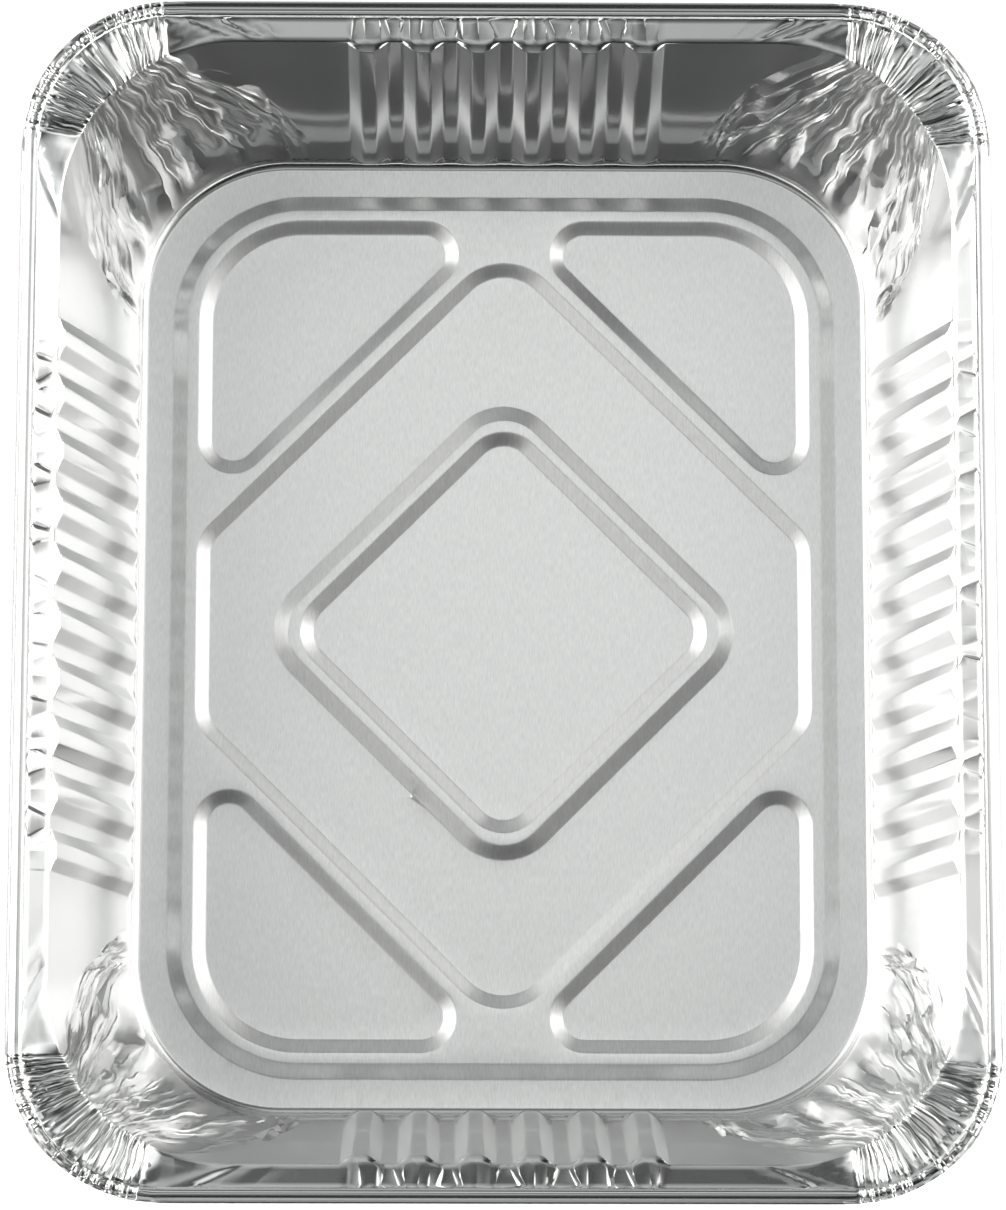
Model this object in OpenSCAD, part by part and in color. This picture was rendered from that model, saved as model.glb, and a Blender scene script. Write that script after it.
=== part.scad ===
// Foil roasting pan: one sheet of foil, pressed and rolled. Sizes in mm.
// The origin is under the middle of the floor, X runs across the short side, Y along the long side.

/* [Pan] */
// Width over the rolled rim, along X
pan_w = 264; // [240:1:290]
// Length over the rolled rim, along Y
pan_l = 327.5; // [300:0.5:360]
// Height from the table to the top of the rolled rim
pan_h = 66; // [50:1:80]
// Thickness of the sheet as it is modelled
foil_t = 0.4; // [0.3:0.05:0.6]
// Corner radius of the rim's outer edge
rim_r = 41; // [34:1:50]

/* [Rolled rim] */
// Width of the rolled rim, seen from above
bead_w = 4.75; // [4:0.25:6]
// Height of the rolled rim's section
bead_h = 3.4; // [3:0.1:4.5]
// Depth of the groove that runs along the top of the rolled rim
bead_groove = 0.5; // [0.2:0.1:0.8]
// Depth of the crimps on the outside of the rim's corners
crimp_d = 0.3; // [0.1:0.05:0.5]
// Number of crimps round one corner of the rim
crimp_n = 7; // [6:1:9]

/* [Band and shoulder] */
// Distance from the rim's outer edge in to the shoulder
shoulder_in = 11; // [9.5:0.5:13]
// Corner radius of the shoulder
shoulder_r = 48; // [40:1:52]
// Drop from the top of the rim to the shoulder
shoulder_drop = 3.5; // [3:0.1:5]
// Drop from the top of the rim to the band's outer edge
band_drop = 1.5; // [1.2:0.1:2]

/* [Floor] */
// Width of the floor at the foot of the walls
floor_w = 200.3; // [185:0.1:212]
// Length of the floor at the foot of the walls
floor_l = 265.5; // [250:0.5:277]
// Corner radius of the floor
floor_r = 39; // [34:1:44]
// Height of the pressed ridges above the rest of the floor
emboss_h = 1.6; // [1:0.1:2.4]

// How far the rounded foot of the wall reaches out from the floor
foot_out = 2.5; // [1.5:0.1:3.2]
// Height of that foot above the floor
foot_rise = 1.8; // [1:0.1:2.2]

/* [Ridge round the floor] */
// Width over the foot of the ridge that runs round the floor
ring_w = 186.5; // [176:0.5:190]
// Length over the foot of the ridge that runs round the floor
ring_l = 250.4; // [240:0.1:255]
// Corner radius at the foot of that ridge
ring_r = 36.5; // [28:0.5:40]
// Width of the slope on the ridge's outer side
ring_slope = 4.1; // [3:0.1:5]
// Width of the flat top of the ridges
ridge_w = 3.1; // [2:0.1:4]
// Width of the slope into the sunken fields
field_slope = 3.7; // [2.8:0.1:4.6]

/* [Corner fields] */
// Distance from the middle of the floor to the slanting side of a corner field
corner_field_d = 82.75; // [80:0.25:86]
// Radius of a corner field where it faces the pan's corner
corner_field_r = 29.3; // [22:0.1:34]
// Radius of a corner field's two narrow ends
corner_tip_r = 9.8; // [7:0.1:12]

/* [Diamond fields] */
// Radius of the large diamond's ends
diamond_end_r = 16.7; // [12:0.1:20]
// Radius where the large diamond meets the side ridges
diamond_side_r = 12; // [8:1:20]
// Distance from the middle to the foot of the centre diamond's ridge
centre_d = 50.35; // [46:0.05:54]
// Corner radius at the foot of the centre diamond's ridge
centre_r = 16.4; // [14:0.1:20]
// Width of the flat top of the centre diamond's ridge
centre_ridge_w = 2.6; // [1.8:0.1:3.4]
// Corner radius of the sunken middle, at the ridge's top
centre_in_r = 11.7; // [8:0.1:15]

/* [Wall ribs] */
// Number of ribs on each long wall
long_ribs = 10; // [6:1:10]
// Spacing of the ribs on the long walls
long_pitch = 15.5; // [12:0.1:16.5]
// Number of ribs on each short wall
short_ribs = 6; // [3:1:6]
// Spacing of the ribs on the short walls
short_pitch = 15.2; // [12:0.1:16.5]
// How far a rib of the short walls stands in from the wall at its head
rib_d = 2.4; // [1.5:0.1:3]
// How far a rib of the long walls stands in at its head
long_rib_d = 1.6; // [1.2:0.1:2.4]
// How far a rib of the short walls stands in at its foot
rib_foot_d = 2; // [0.8:0.1:2.2]
// Height of a rib's foot above the table
rib_foot_z = 5; // [4:0.1:8]
// Drop from the top of the rim to a rib's head, where its ledge starts
rib_head_drop = 5.3; // [5.3:0.1:9]
// How far the shoulder bends in over a rib of the short walls
rib_shoulder_d = 1.1; // [0.4:0.1:1.4]

/* [Corner pleats] */
// Number of pleats in one corner
pleat_n = 9; // [6:1:11]
// Depth of the pleats at the shoulder
pleat_d = 1.3; // [0.6:0.1:1.8]
// Depth of the pleats at the floor
pleat_foot_d = 0.2; // [0:0.05:0.4]

/* [Hidden] */
top_w = pan_w / 2 - bead_w;
top_l = pan_l / 2 - bead_w;
top_r = rim_r - bead_w;
shoulder_z = pan_h - shoulder_drop;
band_z = pan_h - band_drop;
pleat_steps = 2 * pleat_n;
crimp_steps = 2 * crimp_n;
head_z = pan_h - rib_head_drop;
long_share = long_rib_d / rib_d;
foot_z = foil_t + foot_rise;
shoulder_w = pan_w / 2 - shoulder_in;
shoulder_l = pan_l / 2 - shoulder_in;
lead = 1;
below = 0.2;
field_w = ring_w / 2 - ring_slope - ridge_w;
field_l = ring_l / 2 - ring_slope - ridge_w;
diamond_d = corner_field_d - ridge_w;
centre_in_d = centre_d - ring_slope - centre_ridge_w;

// Height z as a share of the way from the wall's foot to the shoulder
function up(z) = (z - foot_z) / (shoulder_z - foot_z);
function mix(a, b, f) = a + (b - a) * f;

// A repeatable number between -1 and 1
function wave(i) = sin(i * 137.5 + 40 * sin(i * 71));

// One row of the sheet: half width, half length, corner radius, height, rib depth, pleat depth
function wall_row(z, rib, pleat, out) = [
    mix(floor_w / 2 + foot_out, shoulder_w, up(z)) + out,
    mix(floor_l / 2 + foot_out, shoulder_l, up(z)) + out,
    mix(floor_r + foot_out, shoulder_r, up(z)) + out,
    z,
    rib,
    pleat
];

// Stations along one straight wall: place along the wall and distance in from it
function side(h, n, pitch, rib, pleat, seed) =
    let(e = (n / 2 - 0.125) * pitch)
    concat(
        [[-(e + h) / 2, pleat * 0.4 * wave(seed)]],
        [for (k = [0:n - 1]) for (q = [0:3])
            [(k - (n - 1) / 2) * pitch + (q - 1.5) * pitch / 4, (q == 1 || q == 2) ? rib : 0]],
        [[(e + h) / 2, pleat * 0.4 * wave(seed + 1)]]
    );

// Distance in from the corner's arc at pleat station j
function pleat_in(j, pleat, seed) =
    (j == 0 || j == pleat_steps) ? 0 : pleat * (j % 2 == 0 ? 1 : -1) * (0.7 + 0.3 * wave(j + seed));

// Angle of pleat station j, a little uneven
function pleat_angle(j, seed) =
    (j == 0 || j == pleat_steps) ? 90 * j / pleat_steps : 90 * (j + 0.22 * wave(3 * j + seed)) / pleat_steps;

function corner(q, a, b, r, pleat) = [
    for (j = [0:pleat_steps])
        let(
            g = 90 * q + pleat_angle(j, 11 * q),
            d = r - pleat_in(j, pleat, 7 * q)
        )
        [(q == 0 || q == 3 ? 1 : -1) * (a - r) + d * cos(g), (q < 2 ? 1 : -1) * (b - r) + d * sin(g)]
];

// The sheet's outline in one row, counter-clockwise
function outline(row) =
    let(
        a = row[0],
        b = row[1],
        r = row[2],
        long = side(b - r, long_ribs, long_pitch, row[4] * long_share, row[5], 2),
        short = side(a - r, short_ribs, short_pitch, row[4], row[5], 9)
    )
    concat(
        [for (s = long) [a - s[1], s[0], row[3]]],
        [for (p = corner(0, a, b, r, row[5])) [p[0], p[1], row[3]]],
        [for (s = short) [-s[0], b - s[1], row[3]]],
        [for (p = corner(1, a, b, r, row[5])) [p[0], p[1], row[3]]],
        [for (s = long) [s[1] - a, -s[0], row[3]]],
        [for (p = corner(2, a, b, r, row[5])) [p[0], p[1], row[3]]],
        [for (s = short) [s[0], s[1] - b, row[3]]],
        [for (p = corner(3, a, b, r, row[5])) [p[0], p[1], row[3]]]
    );

// A closed body through rows of equal outlines
module through(rows) {
    rings = [for (row = rows) outline(row)];
    n = len(rings[0]);
    m = len(rings);
    polyhedron(
        points = [for (ring = rings) for (p = ring) p],
        faces = concat(
            [[for (i = [0:n - 1]) i]],
            [for (k = [0:m - 2]) for (i = [0:n - 1])
                [k * n + i, (k + 1) * n + i, (k + 1) * n + (i + 1) % n]],
            [for (k = [0:m - 2]) for (i = [0:n - 1])
                [k * n + i, (k + 1) * n + (i + 1) % n, k * n + (i + 1) % n]],
            [[for (i = [n - 1:-1:0]) (m - 1) * n + i]]
        )
    );
}

// Foot of the wall and its ribs, as rows from the table up
function rows(out, low) = [
    [floor_w / 2 + out, floor_l / 2 + out, floor_r + out, foil_t + low, 0, pleat_foot_d * 0.5],
    [
        floor_w / 2 + foot_out + out, floor_l / 2 + foot_out + out, floor_r + foot_out + out,
        foot_z + low * 0.5, rib_foot_d * 0.55, pleat_foot_d
    ],
    wall_row(rib_foot_z, rib_foot_d, pleat_foot_d * 1.5, out),
    wall_row(head_z, rib_d, pleat_d, out)
];

// The body under the sheet, filled
module outer_body() {
    out = foil_t * 1.05;
    through(concat(
        rows(out, -foil_t),
        [
            [shoulder_w + 0.6 * out, shoulder_l + 0.6 * out, shoulder_r, shoulder_z - foil_t * 0.9, rib_shoulder_d, pleat_d],
            [top_w + foil_t / 2, top_l + foil_t / 2, top_r + foil_t / 2, band_z - foil_t, 0, 0],
            [top_w + foil_t / 2, top_l + foil_t / 2, top_r + foil_t / 2, pan_h + lead, 0, 0]
        ]
    ));
}

// The space over the sheet
module inner_body() {
    run = (band_z - shoulder_z) / (shoulder_in - bead_w);
    through(concat(
        rows(0, 0),
        [
            [shoulder_w, shoulder_l, shoulder_r, shoulder_z, rib_shoulder_d, pleat_d],
            [top_w, top_l, top_r, band_z, 0, 0],
            [top_w + lead, top_l + lead, top_r + lead, band_z + lead * run, 0, 0],
            [top_w + lead, top_l + lead, top_r + lead, pan_h + 3 * lead, 0, 0]
        ]
    ));
}

// Points of round corners, each given as [x, y, r, first angle, last angle], drawn in by g, at height z
function rounds(spots, g, z) = [
    for (s = spots)
        for (a = [s[3]:(s[2] > 20 ? 11.25 : 15):s[4]])
            [s[0] + (s[2] - g) * cos(a), s[1] + (s[2] - g) * sin(a), z]
];

// Body with sloping sides round those corners: drawn in by g0 at height z0 and by g1 at height z1
module sloped(spots, g0, z0, g1, z1) {
    points = concat(rounds(spots, g0, z0), rounds(spots, g1, z1));
    hull()
    polyhedron(points = points, faces = [[for (i = [0:len(points) - 1]) i]]);
}

// Raised field: its foot at height 0 and its top at emboss_h
module raised(spots, slope) {
    sloped(spots, -below * slope / emboss_h, -below, slope, emboss_h);
}

// Sunken field: its edge at height emboss_h and its bottom at height 0
module sunken(spots) {
    step = field_slope / emboss_h;
    sloped(spots, field_slope + 2 * below * step, -2 * below, -below * step, emboss_h + below);
}

// First angle of the quarter circle that faces the corner mx, my
function quarter(mx, my) = my > 0 ? (mx > 0 ? 0 : 90) : (mx > 0 ? 270 : 180);

// Round corners of the fields
function box_spots(a, b, r) = [
    for (mx = [-1, 1]) for (my = [-1, 1])
        [mx * (a - r), my * (b - r), r, quarter(mx, my), quarter(mx, my) + 90]
];

function square_spots(d, r) = [
    for (g = [0:90:270]) [sqrt(2) * (d - r) * cos(g), sqrt(2) * (d - r) * sin(g), r, g - 45, g + 45]
];

function corner_spots(mx, my) =
    let(r = corner_tip_r, s = sqrt(2) * (corner_field_d + r))
    [
        [
            mx * (field_w - corner_field_r), my * (field_l - corner_field_r), corner_field_r,
            quarter(mx, my), quarter(mx, my) + 90
        ],
        [mx * (s - field_l + r), my * (field_l - r), r, 0, 345],
        [mx * (field_w - r), my * (s - field_w + r), r, 0, 345]
    ];

function diamond_spots() =
    let(
        y = sqrt(2) * (diamond_d - diamond_end_r),
        x = field_w - diamond_side_r,
        s = sqrt(2) * (diamond_d - diamond_side_r) - x
    )
    concat(
        [[0, y, diamond_end_r, 45, 135], [0, -y, diamond_end_r, 225, 315]],
        [for (mx = [-1, 1]) for (my = [-1, 1]) [mx * x, my * s, diamond_side_r, 0, 345]]
    );

// Everything on the floor that stands up, solid, with its foot at height 0
module ridges() {
    difference() {
        raised(box_spots(ring_w / 2, ring_l / 2, ring_r), ring_slope);
        sunken(corner_spots(1, 1));
        sunken(corner_spots(-1, 1));
        sunken(corner_spots(1, -1));
        sunken(corner_spots(-1, -1));
        sunken(diamond_spots());
    }
    difference() {
        raised(square_spots(centre_d, centre_r), ring_slope);
        sunken(square_spots(centre_in_d, centre_in_r));
    }
}

// Middle line of the rolled rim's section: distance out from the band, height under the rim's top
bead_path = [
    [foil_t / 2, -0.72 * bead_h],
    [foil_t / 2, -0.28 * bead_h],
    [0.2 * bead_w, -foil_t / 2 - 0.02 * bead_h],
    [0.42 * bead_w, -foil_t / 2 - 0.1 * bead_groove],
    [0.58 * bead_w, -foil_t / 2 - bead_groove],
    [0.74 * bead_w, -foil_t / 2],
    [bead_w - foil_t, -0.24 * bead_h],
    [bead_w - foil_t / 2, -0.56 * bead_h],
    [0.88 * bead_w, -0.88 * bead_h],
    [0.55 * bead_w, foil_t / 2 - bead_h],
    [0.24 * bead_w, -0.76 * bead_h]
];

function unit(v) = v / norm(v);
function left_of(v) = [-v[1], v[0]];

// The path moved sideways by d, with mitred bends
function beside(path, d) = [
    for (i = [0:len(path) - 1])
        let(
            before = unit(path[max(i, 1)] - path[max(i, 1) - 1]),
            after = unit(path[min(i + 1, len(path) - 1)] - path[min(i, len(path) - 2)]),
            n = unit(left_of(before) + left_of(after))
        )
        path[i] + n * d / (n * left_of(before))
];

function backward(list) = [for (i = [len(list) - 1:-1:0]) list[i]];

bead_drawn = concat(beside(bead_path, foil_t / 2), backward(beside(bead_path, -foil_t / 2)));
bead_out = max([for (s = bead_drawn) s[0]]);
bead_up = max([for (s = bead_drawn) s[1]]);
bead_section = [for (s = bead_drawn) [s[0] * bead_w / bead_out, s[1] - bead_up]];

// One point of the rolled rim: corner q, crimp station j, section point s
function bead_point(q, j, s) =
    let(
        g = 90 * (q + j / crimp_steps),
        crimp = (j == 0 || j == crimp_steps) ? 0 : crimp_d * (j % 2) * (0.75 + 0.25 * wave(j + 5 * q)),
        d = top_r + s[0] - crimp * max(0, s[0] / bead_w)
    )
    [
        (q == 0 || q == 3 ? 1 : -1) * (top_w - top_r) + d * cos(g),
        (q < 2 ? 1 : -1) * (top_l - top_r) + d * sin(g),
        pan_h + s[1]
    ];

module bead() {
    k = len(bead_section);
    m = 4 * (crimp_steps + 1);
    polyhedron(
        points = [for (q = [0:3]) for (j = [0:crimp_steps]) for (s = bead_section) bead_point(q, j, s)],
        faces = concat(
            [for (a = [0:m - 1]) for (i = [0:k - 1])
                [a * k + i, ((a + 1) % m) * k + i, ((a + 1) % m) * k + (i + 1) % k]],
            [for (a = [0:m - 1]) for (i = [0:k - 1])
                [a * k + i, ((a + 1) % m) * k + (i + 1) % k, a * k + (i + 1) % k]]
        )
    );
}

module foil_pan() {
    color([0.78, 0.79, 0.8])
    union() {
        difference() {
            outer_body();
            difference() {
                inner_body();
                translate([0, 0, foil_t])
                ridges();
            }
            ridges();
        }
        bead();
    }
}

foil_pan();
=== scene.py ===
import bpy
import bmesh
import math
from collections import namedtuple
import numpy as np
from mathutils import Matrix, Vector
from mathutils.geometry import delaunay_2d_cdt


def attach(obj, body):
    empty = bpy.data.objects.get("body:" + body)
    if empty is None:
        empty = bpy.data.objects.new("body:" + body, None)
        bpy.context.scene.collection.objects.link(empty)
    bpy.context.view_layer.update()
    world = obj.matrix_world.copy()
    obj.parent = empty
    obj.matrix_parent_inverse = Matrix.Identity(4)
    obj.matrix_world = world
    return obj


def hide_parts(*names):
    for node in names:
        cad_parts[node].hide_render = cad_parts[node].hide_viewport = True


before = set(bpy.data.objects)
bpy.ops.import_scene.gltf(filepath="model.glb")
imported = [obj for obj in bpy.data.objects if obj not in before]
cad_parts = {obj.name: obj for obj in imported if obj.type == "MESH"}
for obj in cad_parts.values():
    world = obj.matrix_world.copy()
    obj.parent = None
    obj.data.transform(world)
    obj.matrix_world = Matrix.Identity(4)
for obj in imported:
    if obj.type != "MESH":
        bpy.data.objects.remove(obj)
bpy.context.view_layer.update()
scene = bpy.context.scene
scene.view_settings.view_transform = "Standard"

# A roasting pan of pressed foil: one sheet with ribbed walls, gathered corners and a rolled rim.
# Its walls are a grid. Rows run round the pan, from the floor's edge up to the curl of the rim, and stations
# are the grid's columns. The floor is a triangulated plan inside the first row. Lengths are in millimetres.
MM = 0.001

# Sizes. PAN and BEAD are whole. TOP, SHOULDER, FLOOR and RING give half width, half length and corner radius.
PAN_W, PAN_L, PAN_H = 264.0, 327.5, 66.0
RIM_R, BEAD_W = 41.0, 4.75
TOP_W, TOP_L, TOP_R = PAN_W / 2 - BEAD_W, PAN_L / 2 - BEAD_W, RIM_R - BEAD_W
SHOULDER_W, SHOULDER_L, SHOULDER_R, SHOULDER_Z = 121.0, 152.75, 48.0, 62.5
BAND_Z = 64.5
FLOOR_W, FLOOR_L, FLOOR_R = 100.15, 132.75, 39.0
FOOT_R, FOOT_OUT, FOOT_Z = 2.9, 2.7, 2.5
SHEET = 0.4
RIB_D, RIB_SHOULDER_D, HEAD_Z = 2.35, 1.1, 60.5
LONG_SHARE = 0.67
PITCH, RIBS = (15.5, 15.2), (10, 6)
BEND = 0.5
RING_W, RING_L, RING_R = 93.25, 125.2, 36.5
RING_SLOPE, RIDGE, FIELD_SLOPE, EMBOSS = 4.1, 3.1, 3.7, 1.6
TURN = 6.2832


def smooth(x, lo, hi):
    """0 up to lo and 1 from hi on, with a soft step between."""
    t = np.clip((np.asarray(x, float) - lo) / (hi - lo), 0.0, 1.0)
    return t * t * (3 - 2 * t)


def turned(side, x, y):
    """A point or direction of side 0, turned to another side."""
    c, s = math.cos(math.radians(90 * side)), math.sin(math.radians(90 * side))
    return x * c - y * s, x * s + y * c


def add_camera():
    """Fitted to the photograph's straight lines. Focal length and width are in pixels, turns in radians."""
    focal, photo_width, place = 5138.0, 1006.0, (-11.7, -245.8, 1417.6)
    turn_x, turn_y, turn_z = -0.177, 0.008, -0.003
    data = bpy.data.cameras.new("camera")
    data.sensor_fit = "HORIZONTAL"
    data.sensor_width = 36.0
    data.lens = focal * 36.0 / photo_width
    data.clip_start = 0.05
    data.clip_end = 20.0
    cam = bpy.data.objects.new("camera", data)
    scene.collection.objects.link(cam)
    to_cam = Matrix.Rotation(turn_z, 3, "Z") @ Matrix.Rotation(turn_y, 3, "Y") @ Matrix.Rotation(turn_x, 3, "X")
    cam.matrix_world = Matrix.Translation(Vector(place) * MM) @ to_cam.transposed().to_4x4()
    scene.camera = cam


add_camera()

# Stations, counter-clockwise: side 0 is +X, 1 is +Y, 2 is -X and 3 is -Y, so even sides are the long walls.
# Each side has its ribbed stretch, placed in millimetres along the wall, then a corner zone, placed by u: the
# plain end of the wall (0 to 1), the arc (1 to 2) and the plain start of the next wall (2 to 3).
# A station's role is its part of a pleat or crease: 0 and 2 are feet, 1 is the crown, from 3 on it lies beside.
CROWN, BESIDE = 1, 3
PARTS = 5
MIDDLE = 1.5
Pleat = namedtuple("Pleat", "s half lean amp low level")
Crease = namedtuple("Crease", "u low amp width wavy arc")


def rib_edge(side):
    """Half length of a side's ribbed stretch."""
    return (RIBS[side % 2] / 2 - 0.125) * PITCH[side % 2]


def rib_stations(side):
    """Places along the wall, each with two marks: the wall needs it, and the rolled rim needs it."""
    pitch, ribs, end = PITCH[side % 2], RIBS[side % 2], rib_edge(side)
    # the short sides' band has more pleats than their ribs need stations
    extra = 2 * (side % 2)
    places = []
    for k in range(ribs):
        centre = (k - (ribs - 1) / 2) * pitch
        for t, bend in enumerate((-3 * pitch / 8, -pitch / 8, pitch / 8, 3 * pitch / 8)):
            for o in (-BEND, 0, BEND):
                places.append((centre + bend + o, True, t % 2 == 0 and o == 0))
            for x in range(extra):
                gap = (pitch / 4 - 2 * BEND) * (x + 1) / (extra + 1)
                places.append((centre + bend + BEND + gap, False, False))
    return [(-end, True, True)] + places[2:len(places) - extra - 2] + [(end, True, True)]


def band_pleats(side, room):
    """Pleats of the band: a pair opening from each gap between two ribs to the rim, single ones between."""
    short = side % 2 == 1
    pitch, ribs, end = PITCH[side % 2], RIBS[side % 2], rib_edge(side)
    near, wide, high, flat = (0.75, 1, 2, 1) if short else (1.05, 1.3, 1.6, 0.25)
    single, between = (0.8, (0.26, 0.5, 0.74)) if short else (0.6, (0.5,))
    wish = []
    for k in range(ribs + 1):
        gap = (k - ribs / 2) * pitch
        wish += [(gap - near, -1.9, 1.0), (gap + near, 1.9, 1.0)]
        if k < ribs:
            wish += [(gap + pitch * f, 0.0, single) for f in between]
    margin = 1.2
    wish = [w for w in wish if -end + margin < w[0] < end - margin][:room]
    rng = np.random.default_rng(40 + side)
    pleats = []
    for s, lean, power in wish:
        paired = power == 1.0
        strong = power * rng.choice([1.0, 0.7, 0.4], p=[0.55, 0.3, 0.15])
        lean = lean * rng.uniform(0.4, 1.0) + rng.uniform(-0.4, 0.4)
        pleats.append(Pleat(s=s + rng.uniform(-0.25, 0.25) * (1 if paired else 4),
                            half=rng.uniform(0.4, 0.6) * wide, lean=lean,
                            amp=strong * rng.uniform(0.11, 0.18) * high * rng.choice([1, -1], p=[0.75, 0.25]),
                            low=1.0 if paired else rng.uniform(1.0, 1.1),
                            level=rng.uniform(-0.12, 0.12) * flat))
    return sorted(pleats)


def band_stations(side, pleats, count):
    """Place on the band, role and pleat of each of a wall's stations."""
    end = rib_edge(side)
    band = [(-end, BESIDE, -1)]
    for k, c in enumerate(pleats):
        nxt = pleats[k + 1].s - pleats[k + 1].half if k + 1 < len(pleats) else end
        band += [(c.s - c.half, 0, k), (c.s, CROWN, k), (c.s + c.half, 2, k)]
        band.append(((c.s + c.half + nxt) / 2, BESIDE, k))
    while len(band) < count - 1:
        band.append(((band[-1][0] + end) / 2, BESIDE, -1))
    band.append((end, BESIDE, -1))
    apart = 1e-3
    places = np.maximum.accumulate(np.array([b[0] for b in band]) + apart * np.arange(count) / count)
    return [(s, role, k) for s, (_, role, k) in zip(places, band)]


def zone_creases(q):
    """Creases of a corner zone, in their order along it. Those on the arc start square to the rolled rim."""
    rng = np.random.default_rng(500 + q)
    plain, arcs = [], []
    for end in (-1, 1):
        for m in (0.32, 0.4, 0.5, 0.66, 0.92, 1.22):
            u = MIDDLE + end * (m + rng.uniform(-0.02, 0.02))
            plain.append(Crease(u, 0.98, rng.uniform(0.0, 0.02), 1.4, 0.0, False))
    plain.sort()
    # long sweeping folds at both ends of the arc, a dense cluster beside each, broad folds in its middle
    count = 25
    gaps = []
    for k in range(count + 1):
        m = abs((k + 0.5) / (count + 1) - 0.5)
        gaps.append(rng.uniform(0.5, 1.5) * (1.3 if m < 0.15 else 0.8 if m < 0.34 else 0.85))
    place = np.cumsum(gaps)
    for k in range(count):
        u = 1.01 + 0.98 * (place[k] - 0.5 * place[0]) / place[-1]
        m = abs(u - MIDDLE)
        if m > 0.36:
            ranges = (0.12, 0.45), (0.2, 0.38), (1.0, 1.5), (0.2, 0.4)
        elif m > 0.18:
            ranges = (0.02, 0.3) if k % 2 else (0.35, 0.7), (0.35, 0.7), (0.7, 1.1), (0.7, 1.2)
        else:
            ranges = (0.04, 0.4), (0.35, 0.7), (0.8, 1.3), (0.6, 1.0)
        low, amp, width, wavy = [rng.uniform(*r) for r in ranges]
        arcs.append(Crease(u, low, amp, width, wavy, True))
    return plain[:6] + arcs + plain[6:]


PLEATS, ZONES, stations = [], [], []
for side in range(4):
    ribs = rib_stations(side)
    PLEATS.append(band_pleats(side, (len(ribs) - 2) // 4))
    for (pos, wall, rim), (s, role, k) in zip(ribs, band_stations(side, PLEATS[side], len(ribs))):
        stations.append((False, side, pos, role, k, s, rim, wall))
    ZONES.append(zone_creases(side))
    for k, c in enumerate(ZONES[side]):
        stations += [(True, side, c.u, role, k, 0.0, c.arc or role == CROWN, True) for role in range(PARTS)]
IS_ZONE, SIDE, POS, ROLE, CREASE, BAND_POS, FOR_RIM, FOR_WALL = [np.array(column) for column in zip(*stations)]
N = len(stations)
WALL_OF = [np.where((SIDE == side) & ~IS_ZONE)[0] for side in range(4)]
ZONE_OF = [np.where((SIDE == side) & IS_ZONE)[0] for side in range(4)]


def zone_lengths(side, row):
    """Lengths in mm of the three parts of a corner zone on a row."""
    h1, h2 = (row.b - row.r, row.a - row.r) if side % 2 == 0 else (row.a - row.r, row.b - row.r)
    return h1 - rib_edge(side), row.r * math.pi / 2, h2 - rib_edge(side + 1)


def zone_point(side, row, u):
    """Plan points and outward normals in a corner zone."""
    # in the frame of a corner between +X (u < 1) and +Y (u > 2)
    off1, off2 = (row.a, row.b) if side % 2 == 0 else (row.b, row.a)
    r, h1, h2 = row.r, off2 - row.r, off1 - row.r
    e1, e2 = rib_edge(side), rib_edge(side + 1)
    g = np.clip(u - 1, 0, 1) * math.pi / 2
    s1 = e1 + np.clip(u, 0, 1) * (h1 - e1)
    s2 = h2 - np.clip(u - 2, 0, 1) * (h2 - e2)
    x = np.where(u <= 1, off1, np.where(u >= 2, s2, off1 - r + r * np.cos(g)))
    y = np.where(u <= 1, s1, np.where(u >= 2, off2, off2 - r + r * np.sin(g)))
    return turned(side, x, y) + turned(side, np.cos(g), np.sin(g))


# Rows: half width, half length, corner radius, height, ribs' depth, kind, and use. Use says which faces have
# the row: r the ribbed stretches, z the corner zones, l the underside as well.
Row = namedtuple("Row", "a b r z rib kind use")
FOOT, WALL, BAND, RIM = range(4)


def wall_at(z):
    """The straight wall, from the top of the foot's fillet to the shoulder."""
    f = (z - FOOT_Z) / (SHOULDER_Z - FOOT_Z)
    return (FLOOR_W + FOOT_OUT + (SHOULDER_W - FLOOR_W - FOOT_OUT) * f,
            FLOOR_L + FOOT_OUT + (SHOULDER_L - FLOOR_L - FOOT_OUT) * f,
            FLOOR_R + FOOT_OUT + (SHOULDER_R - FLOOR_R - FOOT_OUT) * f)


def rib_depth(z):
    """Full depth from the ledge under the shoulder down, running out at the foot."""
    zs = (SHEET, 1.2, 2.3, 3.4, 5.0, 8.4, HEAD_Z, 61.5, 61.8, 62.1, 62.35, SHOULDER_Z)
    ds = (0.0, 0.0, 0.35, 1.35, 2.05, 2.2, RIB_D, RIB_D, 0.97 * RIB_D, 0.68 * RIB_D, 0.49 * RIB_D,
          RIB_SHOULDER_D)
    return float(np.interp(z, zs, ds))


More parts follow.
